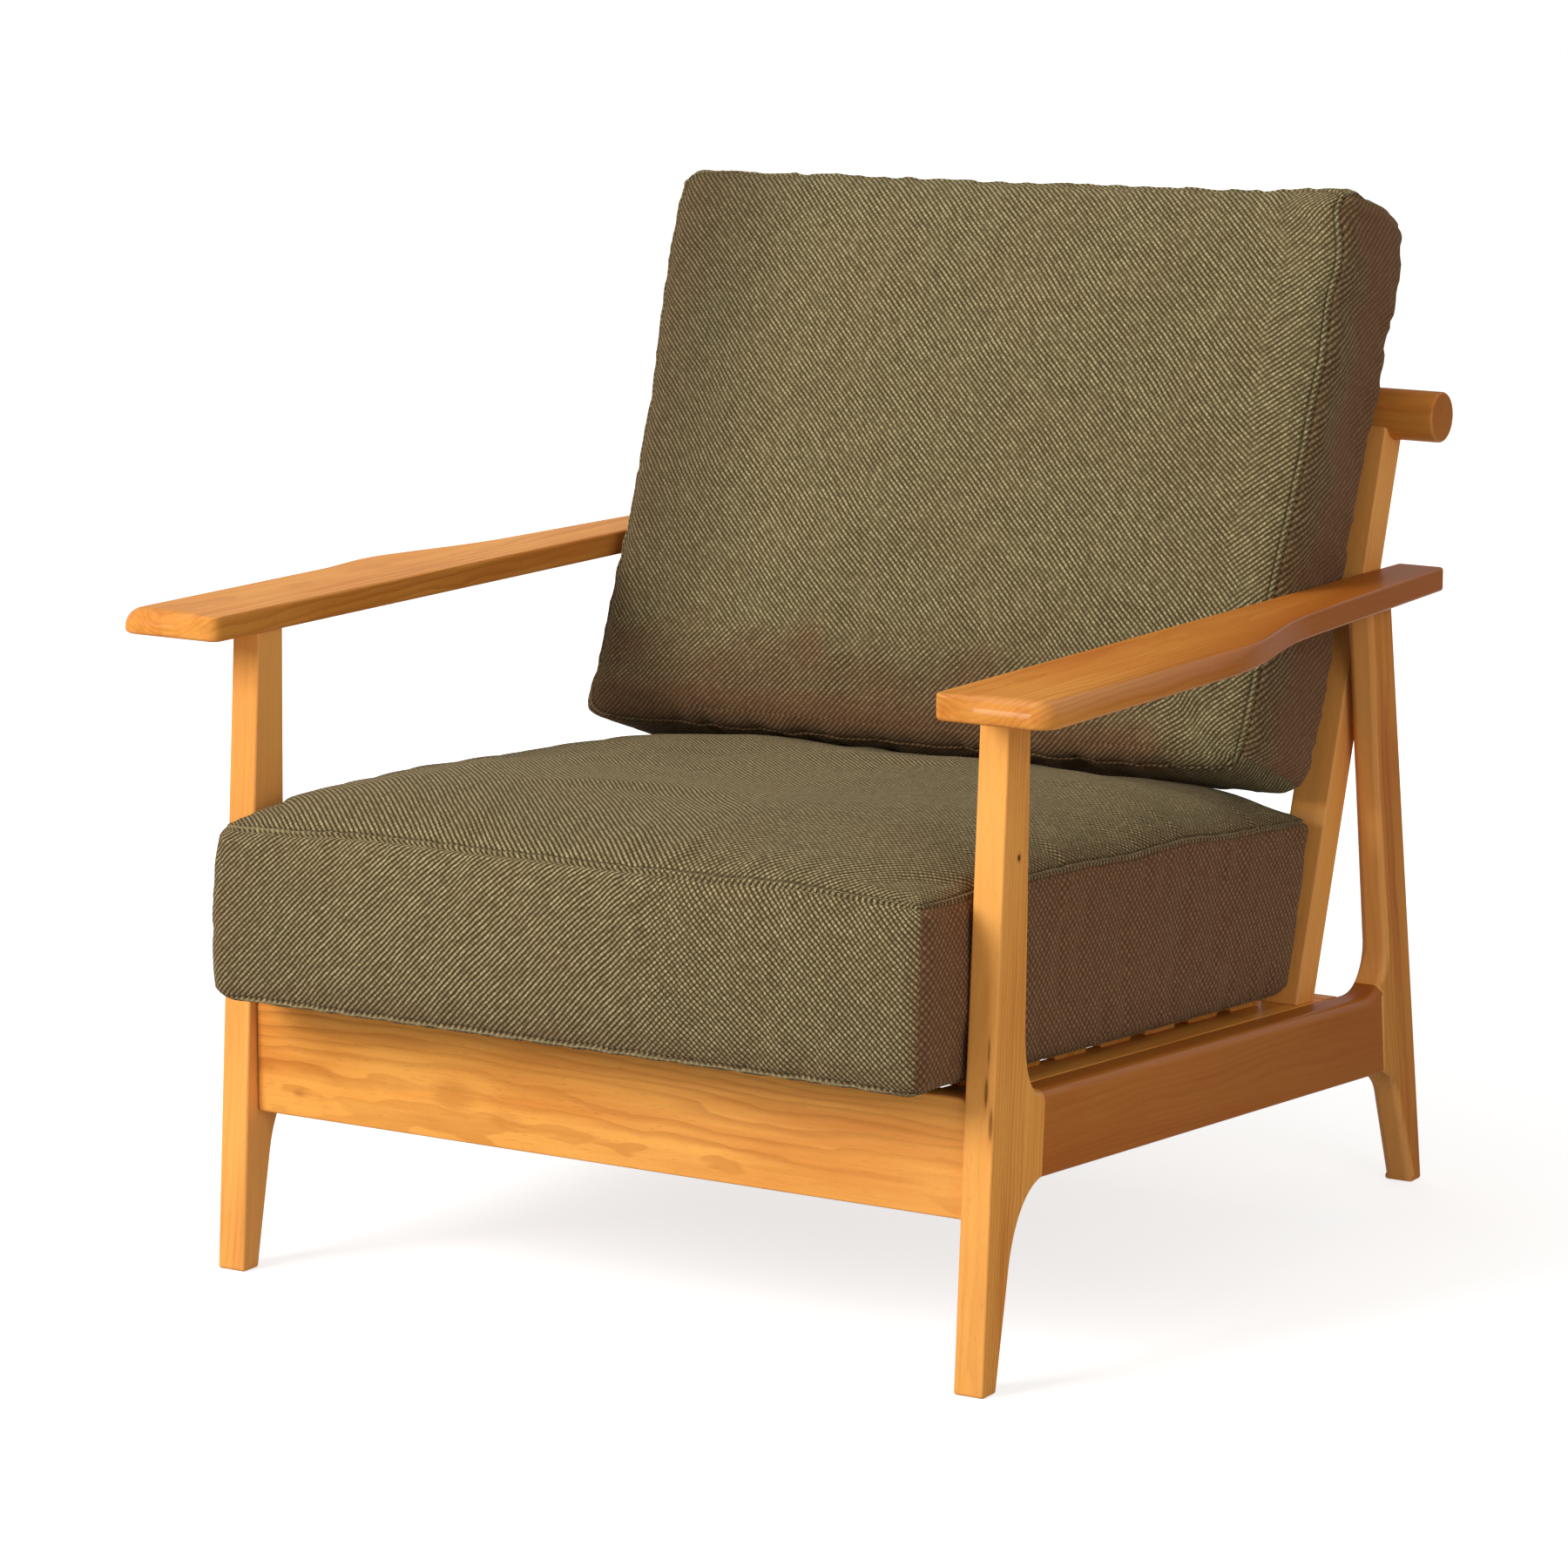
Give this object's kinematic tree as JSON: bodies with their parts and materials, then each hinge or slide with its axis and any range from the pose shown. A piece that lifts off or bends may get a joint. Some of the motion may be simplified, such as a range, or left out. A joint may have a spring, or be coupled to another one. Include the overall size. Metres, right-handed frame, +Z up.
{
  "type": "lounge chair",
  "caption": "Low single-seat sofa with a wooden frame, flat curved armrests and a loose boxed seat cushion and back cushion, for lounging.",
  "frame": {"origin": "on the floor under the middle of the whole chair", "axes": "+Z up, -Y towards the front of the seat, +X towards the sitter's left, which is the right as one faces the chair"},
  "size_m": [0.8146, 0.8002, 0.8119],
  "materials": {
    "honey_wood": "honey-coloured hardwood under a satin lacquer",
    "olive_fabric": "coarse olive and brown woven upholstery fabric over foam",
    "screw_steel": "plain zinc-plated wood screws"
  },
  "bodies": {
    "chair_frame": {"arm_dowel_front_left": "honey_wood", "arm_dowel_front_right": "honey_wood", "arm_dowel_rear_left": "honey_wood", "arm_dowel_rear_right": "honey_wood", "arm_post_dowel_left": "honey_wood", "arm_post_dowel_right": "honey_wood", "armrest_left": "honey_wood", "armrest_right": "honey_wood", "back_post_left": "honey_wood", "back_post_right": "honey_wood", "back_rail_dowel_left": "honey_wood", "back_rail_dowel_right": "honey_wood", "back_slat_1": "honey_wood", "back_slat_2": "honey_wood", "back_slat_3": "honey_wood", "back_slat_4": "honey_wood", "bar_dowel_left": "honey_wood", "bar_dowel_right": "honey_wood", "front_leg_left": "honey_wood", "front_leg_right": "honey_wood", "front_rail": "honey_wood", "front_rail_dowel_lower_left": "honey_wood", "front_rail_dowel_lower_right": "honey_wood", "front_rail_dowel_upper_left": "honey_wood", "front_rail_dowel_upper_right": "honey_wood", "ledge_screw_front_left": "screw_steel", "ledge_screw_front_right": "screw_steel", "ledge_screw_rear_left": "screw_steel", "ledge_screw_rear_right": "screw_steel", "lower_back_rail": "honey_wood", "post_foot_dowel_left": "honey_wood", "post_foot_dowel_right": "honey_wood", "rear_leg_left": "honey_wood", "rear_leg_right": "honey_wood", "rear_rail": "honey_wood", "rear_rail_dowel_left": "honey_wood", "rear_rail_dowel_right": "honey_wood", "seam_dowel_front_lower_left": "honey_wood", "seam_dowel_front_lower_right": "honey_wood", "seam_dowel_front_upper_left": "honey_wood", "seam_dowel_front_upper_right": "honey_wood", "seam_dowel_rear_lower_left": "honey_wood", "seam_dowel_rear_lower_right": "honey_wood", "seam_dowel_rear_upper_left": "honey_wood", "seam_dowel_rear_upper_right": "honey_wood", "seat_ledge_left": "honey_wood", "seat_ledge_right": "honey_wood", "seat_slat_1": "honey_wood", "seat_slat_2": "honey_wood", "seat_slat_3": "honey_wood", "seat_slat_4": "honey_wood", "seat_slat_5": "honey_wood", "seat_slat_6": "honey_wood", "seat_slat_7": "honey_wood", "side_rail_left": "honey_wood", "side_rail_right": "honey_wood", "top_bar": "honey_wood"},
    "seat_pad": {"seat_cushion": "olive_fabric"},
    "back_pad": {"back_cushion": "olive_fabric"}
  },
  "joints": [
    {"name": "seat_cushion_draw", "type": "slide", "parent": "chair_frame", "child": "seat_pad", "axis": [0, -0.9974, 0.0717], "range_m": [0, 0.65]},
    {"name": "back_cushion_lift", "type": "slide", "parent": "chair_frame", "child": "back_pad", "axis": [0, 0.2756, 0.9613], "range_m": [0, 0.4]}
  ]
}
